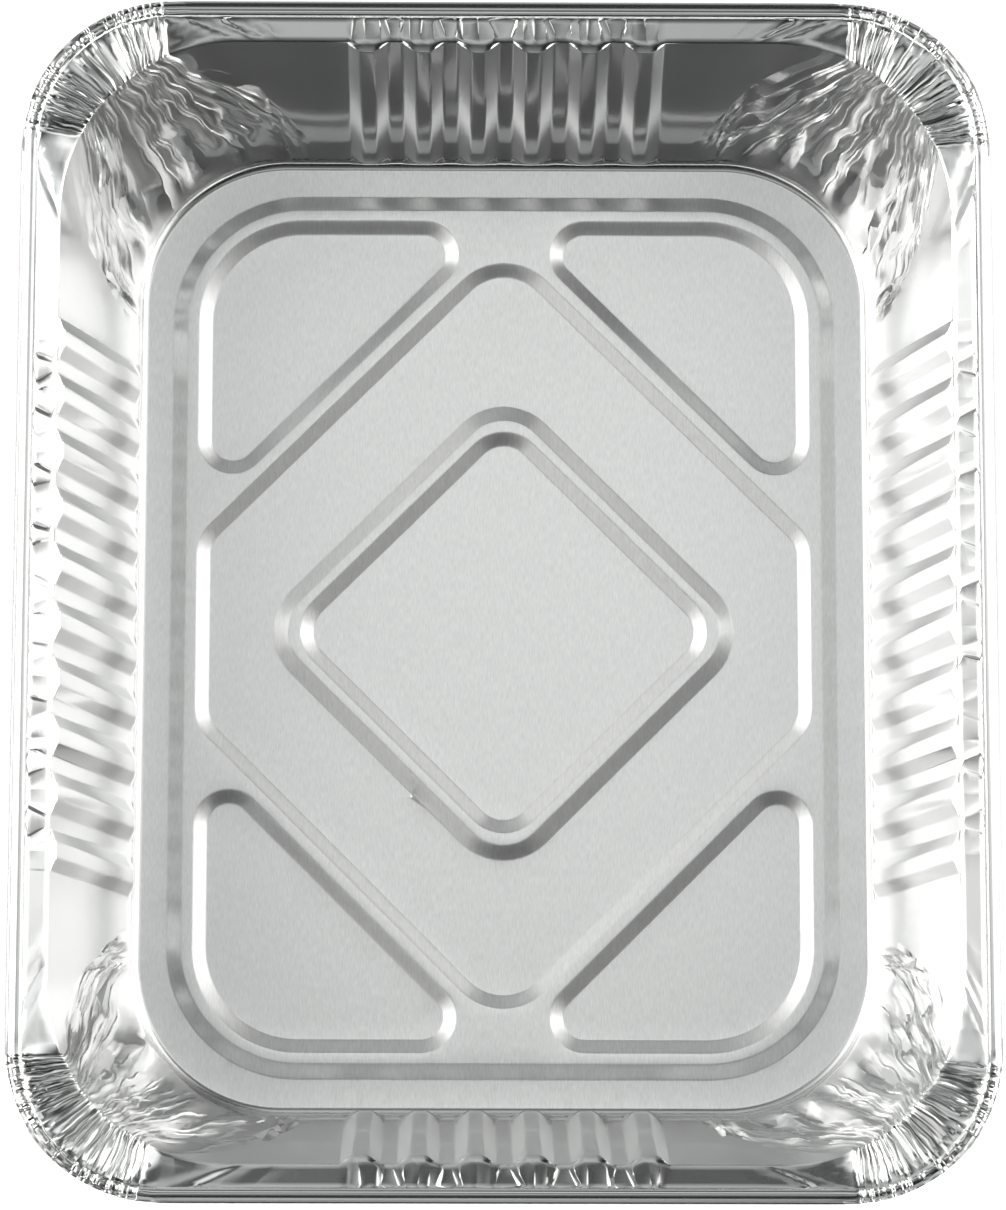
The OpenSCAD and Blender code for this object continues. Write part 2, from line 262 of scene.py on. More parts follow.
def all_rows():
    out = []
    # the fillet at the foot
    for turn, use in ((0, "rzl"), (10, "rz"), (20, "rzl"), (32, "rz"), (46, "rzl"), (60, "rz"), (70, "rzl")):
        o, z = FOOT_R * math.sin(math.radians(turn)), SHEET + FOOT_R * (1 - math.cos(math.radians(turn)))
        out.append(Row(FLOOR_W + o, FLOOR_L + o, FLOOR_R + o, z, rib_depth(z), FOOT, use))
    # the wall: its ribs are straight and need few rows, its folded corners need them all
    steps = [0.0, 1.6, 1.7, 1.7] + [2.0] * 13 + [1.9] * 6 + [1.8] * 3 + [1.7, 1.6, 1.5, 1.4]
    for k, z in enumerate(np.round(3.4 + np.cumsum(steps), 1)):
        out.append(Row(*wall_at(z), z, rib_depth(z), WALL, "rzl" if k in (0, 1, 3, 7, 13, 19, 25, 29) else "z"))
    # the ledges at the ribs' heads
    for z, use in ((58.9, "rz"), (60.1, "rzl"), (60.9, "rl"), (61.5, "r"), (61.8, "rzl"), (62.1, "rl"),
                   (62.35, "rz")):
        out.append(Row(*wall_at(z), z, rib_depth(z), WALL if z < 61 else BAND, use))
    # the shoulder and the band
    bend_out, bend_up = 0.15, 0.12
    out.append(Row(SHOULDER_W + bend_out, SHOULDER_L + bend_out, SHOULDER_R, SHOULDER_Z,
                   RIB_SHOULDER_D * 0.98, BAND, "rzl"))
    low = SHOULDER_Z + bend_up
    for f, use in ((0.08, "rz"), (0.24, "rzl"), (0.42, "rz"), (0.6, "rzl"), (0.78, "rz"), (0.92, "rzl")):
        out.append(Row(SHOULDER_W + (TOP_W - SHOULDER_W) * f, SHOULDER_L + (TOP_L - SHOULDER_L) * f,
                       SHOULDER_R + (TOP_R - SHOULDER_R) * f, low + (BAND_Z - low) * f,
                       RIB_SHOULDER_D * 0.95 * (1 - f) ** 1.5, BAND, use))
    # the rolled rim, with its groove: offset outwards and height from the top
    bead = [(0.0, -1.3), (0.06, -0.85), (0.3, -0.42), (0.75, -0.12), (1.3, -0.02), (1.95, -0.08), (2.45, -0.32),
            (2.8, -0.54), (3.12, -0.32), (3.5, -0.05), (3.95, -0.08), (4.4, -0.42), (4.68, -1.0), (4.75, -1.7),
            (4.6, -2.5), (4.1, -3.15), (3.2, -3.4), (2.0, -3.3), (1.15, -2.75)]
    for o, z in bead:
        out.append(Row(TOP_W + o, TOP_L + o, TOP_R + o, PAN_H + z, 0.0, RIM, "rzl"))
    return out


ROWS = all_rows()
R = len(ROWS)
ROW_Z = np.array([row.z for row in ROWS])
ROW_A = np.array([row.a for row in ROWS])
ROW_KIND = np.array([row.kind for row in ROWS])
BEAD0 = int(np.where(ROW_KIND == RIM)[0][0])


def section_normals():
    """Outward and upward parts of the normal of each row, on the sheet's upper side."""
    out, up = np.gradient(ROW_A), np.gradient(ROW_Z)
    length = np.hypot(out, up)
    return -up / length, out / length


def row_reach():
    """How far along the sheet each row is: 0 at the foot, 1 at the shoulder and AT_RIM at the rolled rim."""
    up_wall = (ROW_Z - SHEET) / (SHOULDER_Z - SHEET)
    across = 1.0 + (AT_RIM - 1.0) * (ROW_A - SHOULDER_W) / (TOP_W - SHOULDER_W)
    on_band = (ROW_KIND == BAND) & (ROW_Z > SHOULDER_Z - 0.05)
    return np.where(ROW_KIND == RIM, AT_RIM, np.where(on_band, across, up_wall))


AT_RIM = 1.2
N_OUT, N_UP = section_normals()
REACH = row_reach()

# Slow wobbles of the creases and soft waves of the sheet between them, for each corner:
# height (mm), waves along u, waves up the wall, phase
WOBBLES = [[(r.uniform(0.25, 0.6), r.uniform(0.5, 2.2), r.uniform(1.5, 5.5), r.uniform(0, 6.28))
            for _ in range(6)] for r in [np.random.default_rng(700 + q) for q in range(4)]]
WAVES = [[(0.62 / f ** 0.85 * r.uniform(0.6, 1.2), f, r.uniform(0.1, 1.3) * r.choice([-1, 1]),
           r.uniform(0, 6.28))
          for f in r.uniform(1.8, 10, 14)] for r in [np.random.default_rng(800 + q) for q in range(4)]]
# Random numbers of a corner's creases, for each crease and row or for each crease and part
Draws = namedtuple("Draws", "jag pulse tilt step turn pace phase")


def square_to_rim(q, u, a, b, r):
    """The place on a row of the band that lies square to the rolled rim from its place u."""
    t1, t2, o1, o2 = (TOP_W, TOP_L, a, b) if q % 2 == 0 else (TOP_L, TOP_W, b, a)
    g = (u - 1) * math.pi / 2
    cx = o1 - r - (t1 - TOP_R + TOP_R * math.cos(g))
    cy = o2 - r - (t2 - TOP_R + TOP_R * math.sin(g))
    return 1 + (g + math.asin((cx * math.sin(g) - cy * math.cos(g)) / r)) / (math.pi / 2)


def crease_place(q, c, h, row):
    """Square across the band, then fanning out going down the wall: most at both ends of the gather."""
    shoulder = (SHOULDER_W, SHOULDER_L, SHOULDER_R)
    end = square_to_rim(q, 2.0, *shoulder) - MIDDLE
    if h > 1:
        if c.arc:
            return square_to_rim(q, c.u, row.a, row.b, row.r)
        m = abs(c.u - MIDDLE)
        top = 0.5 + (m - end) / (MIDDLE - end)
        return MIDDLE + math.copysign(m + (top - m) * ((h - 1) / (AT_RIM - 1)), c.u - MIDDLE)
    u = square_to_rim(q, c.u, *shoulder) if c.arc else c.u
    m = abs(u - MIDDLE)
    # the folds fan out more on the long walls
    power = 1.15 if (u < MIDDLE) == (q % 2 == 0) else 1.9
    pull = (m / end) ** power if m < end else (MIDDLE - m) / (MIDDLE - end)
    return MIDDLE + math.copysign(m + 0.95 * min(max(1 - h, 0), 1) ** 1.35 * pull, u - MIDDLE)


def soft_waves(q, u, h):
    """Soft waves of a corner's sheet, lower towards the shoulder and dying out along the plain ends."""
    v = sum(amp * np.sin(TURN * (along * (u - MIDDLE) + up * h) + phase) for amp, along, up, phase in WAVES[q])
    calm = 1 - 0.55 * smooth(h, 0.4, 0.95) - 0.3 * smooth(h, 0.95, 1.02)
    return 2.2 * v * (1 - smooth(np.abs(u - MIDDLE), 0.55, 1.15)) * smooth(h, 0.02, 0.25) * calm


def crease_centres(q, i, lengths, draws):
    """Where a corner's creases cross row i, in order and with room for each."""
    h, room = REACH[i], 0.72
    on_wall = (1 - float(smooth(h, 0.96, 1.06))) * float(smooth(h, 0.02, 0.12))
    on_band = float(smooth(h, 1.0, 1.05)) * (1 - float(smooth(h, 1.15, AT_RIM)))
    centre = []
    for k, c in enumerate(ZONES[q]):
        u = crease_place(q, c, h, ROWS[i])
        inner = max(0.0, min(1.0, (MIDDLE - abs(u - MIDDLE)) / 0.35))
        slow = 0.0
        for amp, along, up, phase in WOBBLES[q]:
            slow += amp * math.sin(TURN * (along * (u - MIDDLE) + up * h) + phase)
        jag = draws.jag[k, i]
        slower, faster = draws.phase[k]
        own = 0.5 * math.sin(11 * h + slower) + 0.3 * math.sin(31 * h + faster) + 0.16 * jag
        shift = (slow * 0.4 + own * c.wavy) * on_wall + 0.25 * jag * on_band
        centre.append(u + shift * inner / mm_per_u(lengths, u))
    for _ in range(3):
        for k in range(1, len(centre)):
            need = room / mm_per_u(lengths, centre[k])
            if centre[k] - centre[k - 1] < need:
                mid = 0.5 * (centre[k] + centre[k - 1])
                centre[k - 1], centre[k] = mid - need / 2, mid + need / 2
    return centre


def mm_per_u(lengths, u):
    return lengths[0 if u <= 1 else 1 if u < 2 else 2]


def crease_stations(k, c, i, before, u, after, un, draws):
    """Place and fold height of a crease's stations on row i. Its neighbours cross it at before and after."""
    h = REACH[i]
    grow = 1.0 if h < 1 else 1.0 + 0.5 * (h - 1) / (AT_RIM - 1) * (1 if draws.tilt[k] > 0 else -0.5)
    share = 0.38
    half = min(0.5 * c.width * grow / un, share * (after - u), share * (u - before))
    live = float(smooth(h, c.low - 0.05, c.low + 0.07)) * (0.55 + 0.45 * float(smooth(h, c.low, 0.95)))
    amp = c.amp * live * draws.pulse[k, i] * (1 - 0.6 * float(smooth(h, 1.14, AT_RIM)))
    amp *= min(1.0, half * un / 0.45)
    # the facets between two creases tilt one way or the other, and turn along their length
    tip = (0.36 if abs(c.u - MIDDLE) < 0.34 else 0.24) if c.arc else 0.0
    tip *= float(smooth(h, 0.1, 0.5)) * (1 - float(smooth(h, 1.15, AT_RIM)))
    on_band = float(smooth(h, 0.97, 1.03))
    near_end = MIDDLE - abs(u - MIDDLE) <= 0.06
    free = after - min(half, share * (after - u)) - (u + half)
    places, folds = [], []
    for role in range(PARTS):
        swing = math.cos(draws.pace[k, role] * h + draws.turn[k, role])
        level = draws.step[k, role, 0] * swing * (1 - on_band) + draws.step[k, role, 1] * on_band
        if role < BESIDE:
            places.append(u + (role - 1) * half)
            fold = 0.6 * tip * level + (amp if role == CROWN else 0.0)
        else:
            places.append(min(u + half + free * (role - 2) / 3, after - 0.43 * (after - u)))
            fold = tip * level
        folds.append(0.0 if near_end else fold)
    return places, folds


def wall_crinkle(q, row, u):
    """Two small crinkles just above the foot of the far wall, one in each of its corner zones."""
    x, y, _, _ = zone_point(q, row, u)
    far = np.hypot((x - (67.6, -71.5)[q]) / 2.6, (row.z - 5.2) / 2.2)
    return 0.4 * np.exp(-far ** 2) * np.sin(2.9 * x + 1.3 * row.z) * np.cos(2.1 * row.z + q)


def zone_grid(q):
    """Place u and fold height of every row and station of a corner zone."""
    creases = ZONES[q]
    count = len(creases)
    rng = np.random.default_rng(900 + q)
    # of the tilt's numbers only the second half is used
    draws = Draws(jag=rng.uniform(-1, 1, (count, R)), pulse=rng.uniform(0.55, 1.15, (count, R)),
                  tilt=rng.uniform(-1, 1, 2 * count)[count:], step=rng.uniform(-1, 1, (count, PARTS, 2)),
                  turn=rng.uniform(0, 6.28, (count, PARTS)), pace=rng.uniform(2.5, 9.0, (count, PARTS)),
                  phase=rng.uniform(0, 6.28, (count, 2)))
    arcs = np.repeat([1.0 if c.arc else 0.0 for c in creases], PARTS)
    places, folds = np.zeros((R, count * PARTS)), np.zeros((R, count * PARTS))
    for i, row in enumerate(ROWS):
        h, lengths = REACH[i], zone_lengths(q, row)
        centre = crease_centres(q, i, lengths, draws)
        ends = [0.015] + centre + [2.985]
        for k, c in enumerate(creases):
            here = slice(PARTS * k, PARTS * (k + 1))
            places[i, here], folds[i, here] = crease_stations(k, c, i, ends[k], ends[k + 1], ends[k + 2],
                                                              mm_per_u(lengths, centre[k]), draws)
        if row.kind == RIM:
            folds[i] = 0.0
            continue
        folds[i] += soft_waves(q, places[i], h) * (arcs + (1 - arcs) * float(smooth(h, 1.0, 1.06)))
        if q < 2 and h < 0.25:
            folds[i] += wall_crinkle(q, row, places[i])
        edge = np.clip((MIDDLE - np.abs(places[i] - MIDDLE)) / 0.12, 0, 1)
        folds[i] *= edge * float(smooth(h, 0.0, 0.04))
    return places, folds


def rim_crimps(q, u):
    """Crimps round a corner of the rolled rim: every other station is pressed in."""
    count = u.shape[1]
    rng = np.random.default_rng(300 + q)
    press = np.where(np.arange(count) % 2 == 0, rng.uniform(0.35, 1.0, count), rng.uniform(0, 0.25, count))
    crimps = np.zeros((R, count))
    for i in range(BEAD0, R):
        arc = smooth(u[i], 0.97, 1.03) * (1 - smooth(u[i], 1.97, 2.03))
        lean = 0.7 + 0.3 * np.sin(1.9 * i + 0.8 * np.arange(count))
        crimps[i] = 0.3 * press * arc * lean * (1 if BEAD0 < i < BEAD0 + 10 else 0.3)
    return crimps


def rib_rise(side):
    """Share of a rib's depth at each station of a wall, with rounded bends."""
    pitch, ribs = PITCH[side % 2], RIBS[side % 2]
    s = POS[WALL_OF[side]]
    k = np.clip(np.round(s / pitch + (ribs - 1) / 2), 0, ribs - 1)
    off = np.abs(s - (k - (ribs - 1) / 2) * pitch)
    flank = (3 * pitch / 8 - off) / (pitch / 4)
    w = BEND / (pitch / 4)
    rise = np.clip(flank, 0, 1)
    low, high = np.abs(flank) < w, np.abs(flank - 1) < w
    rise[low] = (flank[low] + w) ** 2 / (4 * w)
    rise[high] = 1 - (1 + w - flank[high]) ** 2 / (4 * w)
    return rise


def opened(c, h):
    """A pleat is pointed at the shoulder: its share of full width and height at h on the band."""
    t = (h - c.low) / (AT_RIM - c.low)
    return min(1.0, 1.3 * max(t, 0.0) ** 0.8)


def pleat_folds(side):
    """Fold height of every row and station of a wall: its band's pleats."""
    out = np.zeros((R, len(WALL_OF[side])))
    on_band = smooth(REACH, 1.0, 1.03) * (1 - smooth(REACH, 1.186, AT_RIM))
    for n, j in enumerate(WALL_OF[side]):
        if CREASE[j] < 0:
            continue
        c = PLEATS[side][CREASE[j]]
        if ROLE[j] == BESIDE:
            out[:, n] = -0.5 * c.level * on_band
        elif ROLE[j] == CROWN:
            out[:, n] = [(c.level + c.amp * opened(c, h)) * t for h, t in zip(REACH, on_band)]
        else:
            out[:, n] = c.level * on_band
    return out


def wall_places(side, i):
    """Places of a wall's stations on row i: at the ribs' bends up to the shoulder, then at the pleats."""
    h, cols = REACH[i], WALL_OF[side]
    t = float(smooth(h, 1.0, 1.035))
    s = POS[cols] * (1 - t) + BAND_POS[cols] * t
    if t > 0 and ROWS[i].kind == BAND:
        slides = np.zeros(len(cols))
        for n, j in enumerate(cols):
            if CREASE[j] >= 0:
                c = PLEATS[side][CREASE[j]]
                slides[n] = c.lean * (h - 1.0) / 0.1
                if ROLE[j] != BESIDE:
                    slides[n] += (ROLE[j] - 1) * c.half * (opened(c, h) - 1) * 0.85
        s = s + slides * t * (1 - smooth(h, 1.188, AT_RIM))
        s = np.clip(np.maximum.accumulate(s), -rib_edge(side), rib_edge(side))
    return s


def long_rib_depth(row):
    """The long walls' ribs are shallower, and the shoulder runs almost straight over them."""
    if row.z < HEAD_Z - 0.5:
        return row.rib * LONG_SHARE
    depth = RIB_D * LONG_SHARE * float(np.interp(row.z, (61.6, 62.35), (1, 0.12)))
    return depth * row.rib / RIB_SHOULDER_D if row.z > SHOULDER_Z else depth


def never_flat(x, y, z):
    """The sheet of the walls is never quite flat."""
    wave = 0.035 * np.sin(x / 9.1 + z / 7.0) * np.cos(y / 7.7 - z / 11.0)
    wave += 0.02 * np.sin(x / 4.3 - y / 5.1 + z / 5.0)
    return wave * smooth(z, 2.0, 12.0) * (1 - smooth(z, 54.0, 61.0))


FOLD, CRIMP, RISE = np.zeros((R, N)), np.zeros((R, N)), np.zeros(N)
ZONE_U = []
for side in range(4):
    places, folds = zone_grid(side)
    ZONE_U.append(places)
    FOLD[:, ZONE_OF[side]] = folds
    CRIMP[:, ZONE_OF[side]] = rim_crimps(side, places)
    FOLD[:, WALL_OF[side]] = pleat_folds(side)
    RISE[WALL_OF[side]] = rib_rise(side)


def row_points(i):
    """Points of row i on the sheet's upper and lower side, kept within the pan's box."""
    row = ROWS[i]
    x, y, nx, ny = np.zeros(N), np.zeros(N), np.zeros(N), np.zeros(N)
    for side in range(4):
        cols, off = WALL_OF[side], row.a if side % 2 == 0 else row.b
        x[cols], y[cols] = turned(side, off, wall_places(side, i))
        nx[cols], ny[cols] = turned(side, 1.0, 0.0)
        cols = ZONE_OF[side]
        x[cols], y[cols], nx[cols], ny[cols] = zone_point(side, row, ZONE_U[side][i])
    inward = RISE * np.where(SIDE % 2 == 0, long_rib_depth(row), row.rib) + 0.4 * CRIMP[i]
    fold = FOLD[i] + (never_flat(x, y, row.z) if row.kind == WALL else 0.0)
    out = N_OUT[i] * fold - inward
    pressed = 1.6 * CRIMP[i] * (N_UP[i] > 0)
    upper = np.stack([x + nx * out, y + ny * out, row.z + N_UP[i] * fold - pressed], 1)
    lower = upper - SHEET * np.stack([nx * N_OUT[i], ny * N_OUT[i], np.full(N, N_UP[i])], 1)
    box = np.array([PAN_W / 2, PAN_L / 2, PAN_H])
    return [np.clip(p, (-box[0], -box[1], 0), box) for p in (upper, lower)]


UPPER, LOWER = [np.array(points) for points in zip(*(row_points(i) for i in range(R)))]
LOWER[0, :, 2] = 0.0

# The floor's embossing: a ridge all round, four corner fields, a large diamond and a diamond ring. Each edge is
# an outline of arcs (spots: centre, radius, first and last angle) with a slope that falls outwards or inwards.
SQ2 = math.sqrt(2)
FIELD_W, FIELD_L = RING_W - RING_SLOPE - RIDGE, RING_L - RING_SLOPE - RIDGE
FIELD_D, TIP_R, FIELD_R = 82.75, 9.8, 29.3
DIAMOND_D = FIELD_D - RIDGE
END_R, SIDE_R = 16.7, 12.0
CENTRE_D, CENTRE_R, CENTRE_RIDGE, CENTRE_IN_R = 50.35, 16.4, 2.6, 11.7
CENTRE_IN_D = CENTRE_D - RING_SLOPE - CENTRE_RIDGE
DENT = (-25.2, -46.6)
Edge = namedtuple("Edge", "spots falls_out width")


def box_spots(a, b, r):
    return [(a - r, b - r, r, 0, 90), (-(a - r), b - r, r, 90, 180), (-(a - r), -(b - r), r, 180, 270),
            (a - r, -(b - r), r, 270, 360)]


def square_spots(d, r):
    """A square on its tip: d is the distance of its sides from the middle."""
    tip = SQ2 * (d - r)
    return [(tip * math.cos(math.radians(g)), tip * math.sin(math.radians(g)), r, g - 45, g + 45)
            for g in (0, 90, 180, 270)]


def field_spots(mx, my):
    """A corner field, mirrored by mx and my."""
    s = SQ2 * (FIELD_D + TIP_R)
    spots = [(FIELD_W - FIELD_R, FIELD_L - FIELD_R, FIELD_R, 0, 90),
             (s - FIELD_L + TIP_R, FIELD_L - TIP_R, TIP_R, 90, 225),
             (FIELD_W - TIP_R, s - FIELD_W + TIP_R, TIP_R, 225, 360)]
    out = []
    for x, y, r, a0, a1 in spots:
        if mx < 0:
            a0, a1 = 180 - a1, 180 - a0
        if my < 0:
            a0, a1 = -a1, -a0
        out.append((mx * x, my * y, r, a0, a1))
    return out if mx * my > 0 else out[::-1]


def diamond_spots():
    """The large diamond, cut off at the ring on both long sides."""
    y = SQ2 * (DIAMOND_D - END_R)
    x = FIELD_W - SIDE_R
    s = SQ2 * (DIAMOND_D - SIDE_R) - x
    return [(x, s, SIDE_R, 0, 45), (0, y, END_R, 45, 135), (-x, s, SIDE_R, 135, 180), (-x, -s, SIDE_R, 180, 225),
            (0, -y, END_R, 225, 315), (x, -s, SIDE_R, 315, 360)]


def outline(spots, g, step=3.0, along=7.0):
    """Closed outline of the spots, drawn in by g, with points along its straight runs too."""
    pts = []
    for x, y, r, a0, a1 in spots:
        n = max(2, int(round((a1 - a0) * math.pi / 180 * r / step)), int((a1 - a0) / 9))
        for i in range(n + 1):
            t = math.radians(a0 + (a1 - a0) * i / n)
            pts.append((x + (r - g) * math.cos(t), y + (r - g) * math.sin(t)))
    out = []
    for i, p in enumerate(pts):
        q = pts[(i + 1) % len(pts)]
        d = math.hypot(q[0] - p[0], q[1] - p[1])
        if d < 1e-4:
            continue
        k = max(1, int(round(d / along))) if d > 1.6 * step else 1
        out += [(p[0] + (q[0] - p[0]) * j / k, p[1] + (q[1] - p[1]) * j / k) for j in range(k)]
    return out


def slope_profile(width, soft=0.3):
    """Slope of an embossed edge: offset from its upper edge, share of the height. Both bends are rounded."""
    return [(-soft, 1.0), (0.0, 1 - soft / width / 4), (soft, 1 - soft / width), (width / 2, 0.5),
            (width - soft, soft / width), (width, soft / width / 4), (width + soft, 0.0)]


RING = Edge(box_spots(RING_W - RING_SLOPE, RING_L - RING_SLOPE, RING_R - RING_SLOPE), True, RING_SLOPE)
SUNK = [Edge(field_spots(mx, my), False, FIELD_SLOPE) for mx in (-1, 1) for my in (-1, 1)]
SUNK.append(Edge(diamond_spots(), False, FIELD_SLOPE))
CENTRE_OUT = Edge(square_spots(CENTRE_D - RING_SLOPE, CENTRE_R - RING_SLOPE), True, RING_SLOPE)
CENTRE_IN = Edge(square_spots(CENTRE_IN_D, CENTRE_IN_R), False, FIELD_SLOPE)
EDGES = [RING] + SUNK + [CENTRE_OUT, CENTRE_IN]
OUTLINES = {}


def inside(spots, x, y, g=0.0):
    """True where (x, y) lies inside the outline of the spots, drawn in by g."""
    name = (tuple(spots), g)
    if name not in OUTLINES:
        OUTLINES[name] = np.array(outline(spots, g))
    p = OUTLINES[name]
    q = np.roll(p, -1, 0)
    cut = (p[:, 1] > y) != (q[:, 1] > y)
    p, q = p[cut], q[cut]
    return np.sum(p[:, 0] + (y - p[:, 1]) * (q[:, 0] - p[:, 0]) / (q[:, 1] - p[:, 1]) > x) % 2 == 1


def on_slope(x, y, beside=0.6):
    """True on a slope of the embossing and close beside it."""
    for edge in EDGES:
        outer, inner = (-edge.width - beside, beside) if edge.falls_out else (-beside, edge.width + beside)
        if inside(edge.spots, x, y, outer) and not inside(edge.spots, x, y, inner):
            return True
    return False


def level_at(x, y):
    """Share of the embossing's height on the flats: 1 on the ridges, 0 in the fields and on the margin."""
    if not inside(RING.spots, x, y):
        return 0.0
    if inside(CENTRE_OUT.spots, x, y, -RING_SLOPE / 2):
        return 0.0 if inside(CENTRE_IN.spots, x, y, FIELD_SLOPE / 2) else 1.0
    return 0.0 if any(inside(edge.spots, x, y, edge.width / 2) for edge in SUNK) else 1.0


def floor_plan():
    """Points of the floor with their share of the embossing's height, and the lines that its faces keep."""
    points, lines, levels = [], [], []

    def add_outline(around, level):
        first, n = len(points), len(around)
        points.extend(around)
        levels.extend([level] * n)
        lines.extend([(first + i, first + (i + 1) % n) for i in range(n)])

    add_outline([(p[0], p[1]) for p in UPPER[0]], 0.0)
    for edge in EDGES:
        for off, level in slope_profile(edge.width):
            add_outline(outline(edge.spots, -off if edge.falls_out else off), level)
    for r, n, first in ((0.0, 1, 0.0), (0.45, 6, 0.0), (0.95, 8, 0.5)):
        for i in range(n):
            t = 2 * math.pi * (i + first) / n
            points.append((DENT[0] + r * math.cos(t), DENT[1] + r * math.sin(t)))
            levels.append(0.0)
    # a loose grid on the flats, clear of all other points and of the slopes
    pitch, clear, jitter = 7.6, 2.2, 0.4
    others, margin = np.array(points), box_spots(97, 129, 36)
    for gx in np.arange(-92, 93, pitch):
        for gy in np.arange(-124, 125, pitch):
            x, y = gx + jitter * math.sin(gy), gy + jitter * math.cos(gx)
            if np.min(np.hypot(others[:, 0] - x, others[:, 1] - y)) < clear or not inside(margin, x, y):
                continue
            if not on_slope(x, y):
                points.append((x, y))
                levels.append(level_at(x, y))
    return points, lines, levels


def floor_height(x, y, level):
    """Height of the floor's upper side: embossing, a faint swell, the dent at the foot of the centre ring."""
    swell = 0.05 * np.sin(x / 21.0 + 0.6) * np.cos(y / 27.0) + 0.03 * np.sin(y / 11.0 + x / 17.0)
    in_ring = smooth(RING_L - np.abs(y), 2, 12) * smooth(RING_W - np.abs(x), 2, 12)
    z = np.maximum(SHEET + EMBOSS * level + swell * in_ring * (0.35 + 0.65 * level), SHEET)
    return z + 0.35 * np.exp(-(np.hypot(x - DENT[0], y - DENT[1]) / 0.5) ** 2)


def used_columns(i, lower):
    """Stations of a row. The rolled rim needs fewer on the walls, and the underside fewer in the corners."""
    used = np.ones(N, bool)
    if i > BEAD0:
        used &= FOR_RIM
    if i > 0 and (ROW_Z[i] < 61.6 or lower):
        used &= FOR_WALL
    if lower and i > 0:
        used &= ~IS_ZONE | (ROLE == CROWN) | (ROLE == BESIDE)
    return used


def sheet_faces(grid, lower):
    """Faces of one side of the walls. A cell has extra corners where its neighbours are finer."""
    cells = []
    used = [used_columns(i, lower) for i in range(R)]
    have = [i for i in range(R) if not lower or "l" in ROWS[i].use]
    for side in range(4):
        ribbed = list(WALL_OF[side])
        zone = [ribbed[-1]] + list(ZONE_OF[side]) + [WALL_OF[(side + 1) % 4][0]]
        for cols, mark in ((zone, "z"), (ribbed, "r")):
            marked = [i for i in have if mark in ROWS[i].use]
            place = {j: n for n, j in enumerate(cols)}
            for i0, i1 in zip(marked, marked[1:]):
                between = [i for i in have if i0 < i < i1]
                on0, on1 = [set(j for j in cols if used[i][j] or j in (cols[0], cols[-1])) for i in (i0, i1)]
                keys = [j for j in cols if j in on0 and j in on1]
                for j0, j1 in zip(keys, keys[1:]):
                    run = cols[place[j0]:place[j1] + 1]
                    cells.append([grid[i0, j] for j in run if j in on0]
                                 + ([grid[i, j1] for i in between] if j1 == cols[-1] else [])
                                 + [grid[i1, j] for j in run if j in on1][::-1]
                                 + ([grid[i, j0] for i in between[::-1]] if j0 == cols[0] else []))
    return cells if lower else [c[::-1] for c in cells]


def curl_faces(grid_up, grid_low):
    """The open edge of the rim's curl, between the upper and the lower side."""
    up_cols = list(np.where(used_columns(R - 1, False))[0])
    low_used = used_columns(R - 1, True)
    keys = [j for j in up_cols if low_used[j]]
    out = []
    for j0, j1 in zip(keys, keys[1:] + keys[:1]):
        run = [j for j in up_cols if j0 <= j <= j1]
        if j1 < j0:
            run = [j for j in up_cols if j >= j0] + [j for j in up_cols if j <= j1]
        out.append([grid_up[R - 1, j] for j in run] + [grid_low[R - 1, j1], grid_low[R - 1, j0]])
    return out


def pan_mesh():
    """The whole sheet as one closed mesh."""
    grid_up = np.arange(R * N).reshape(R, N)
    grid_low = grid_up + R * N
    verts = UPPER.reshape(-1, 3).tolist() + LOWER.reshape(-1, 3).tolist()
    faces = sheet_faces(grid_up, False) + sheet_faces(grid_low, True) + curl_faces(grid_up, grid_low)
    # the floor's upper and lower side; its edge is the walls' first row
    points, lines, levels = floor_plan()
    tolerance = 1e-5
    plan, _, plan_faces, origins, _, _ = delaunay_2d_cdt([Vector(p) for p in points], lines, [], 1, tolerance)
    x, y = np.array([[p.x, p.y] for p in plan]).T
    z = floor_height(x, y, np.array([levels[o[0]] if o else 0.0 for o in origins]))
    up_index, low_index = {}, {}
    for k, origin in enumerate(origins):
        edge = [src for src in origin if src < N]
        if edge:
            up_index[k], low_index[k] = grid_up[0, edge[-1]], grid_low[0, edge[-1]]
        else:
            up_index[k], low_index[k] = len(verts), len(verts) + 1
            verts += [[x[k], y[k], z[k]], [x[k], y[k], z[k] - SHEET]]
    for f in plan_faces:
        faces += [[up_index[k] for k in f], [low_index[k] for k in f][::-1]]
    mesh = bpy.data.meshes.new("foil_pan_sheet")
    mesh.from_pydata((np.array(verts) * MM).tolist(), [], [[int(v) for v in f] for f in faces])
    mesh.validate(clean_customdata=False)
    bm = bmesh.new()
    bm.from_mesh(mesh)
    bmesh.ops.delete(bm, geom=[v for v in bm.verts if not v.link_faces], context="VERTS")
    bmesh.ops.triangulate(bm, faces=[f for f in bm.faces if len(f.verts) > 4])
    bmesh.ops.recalc_face_normals(bm, faces=bm.faces)
    for f in bm.faces:
        f.smooth = True
    bm.to_mesh(mesh)
    bm.free()
    return mesh


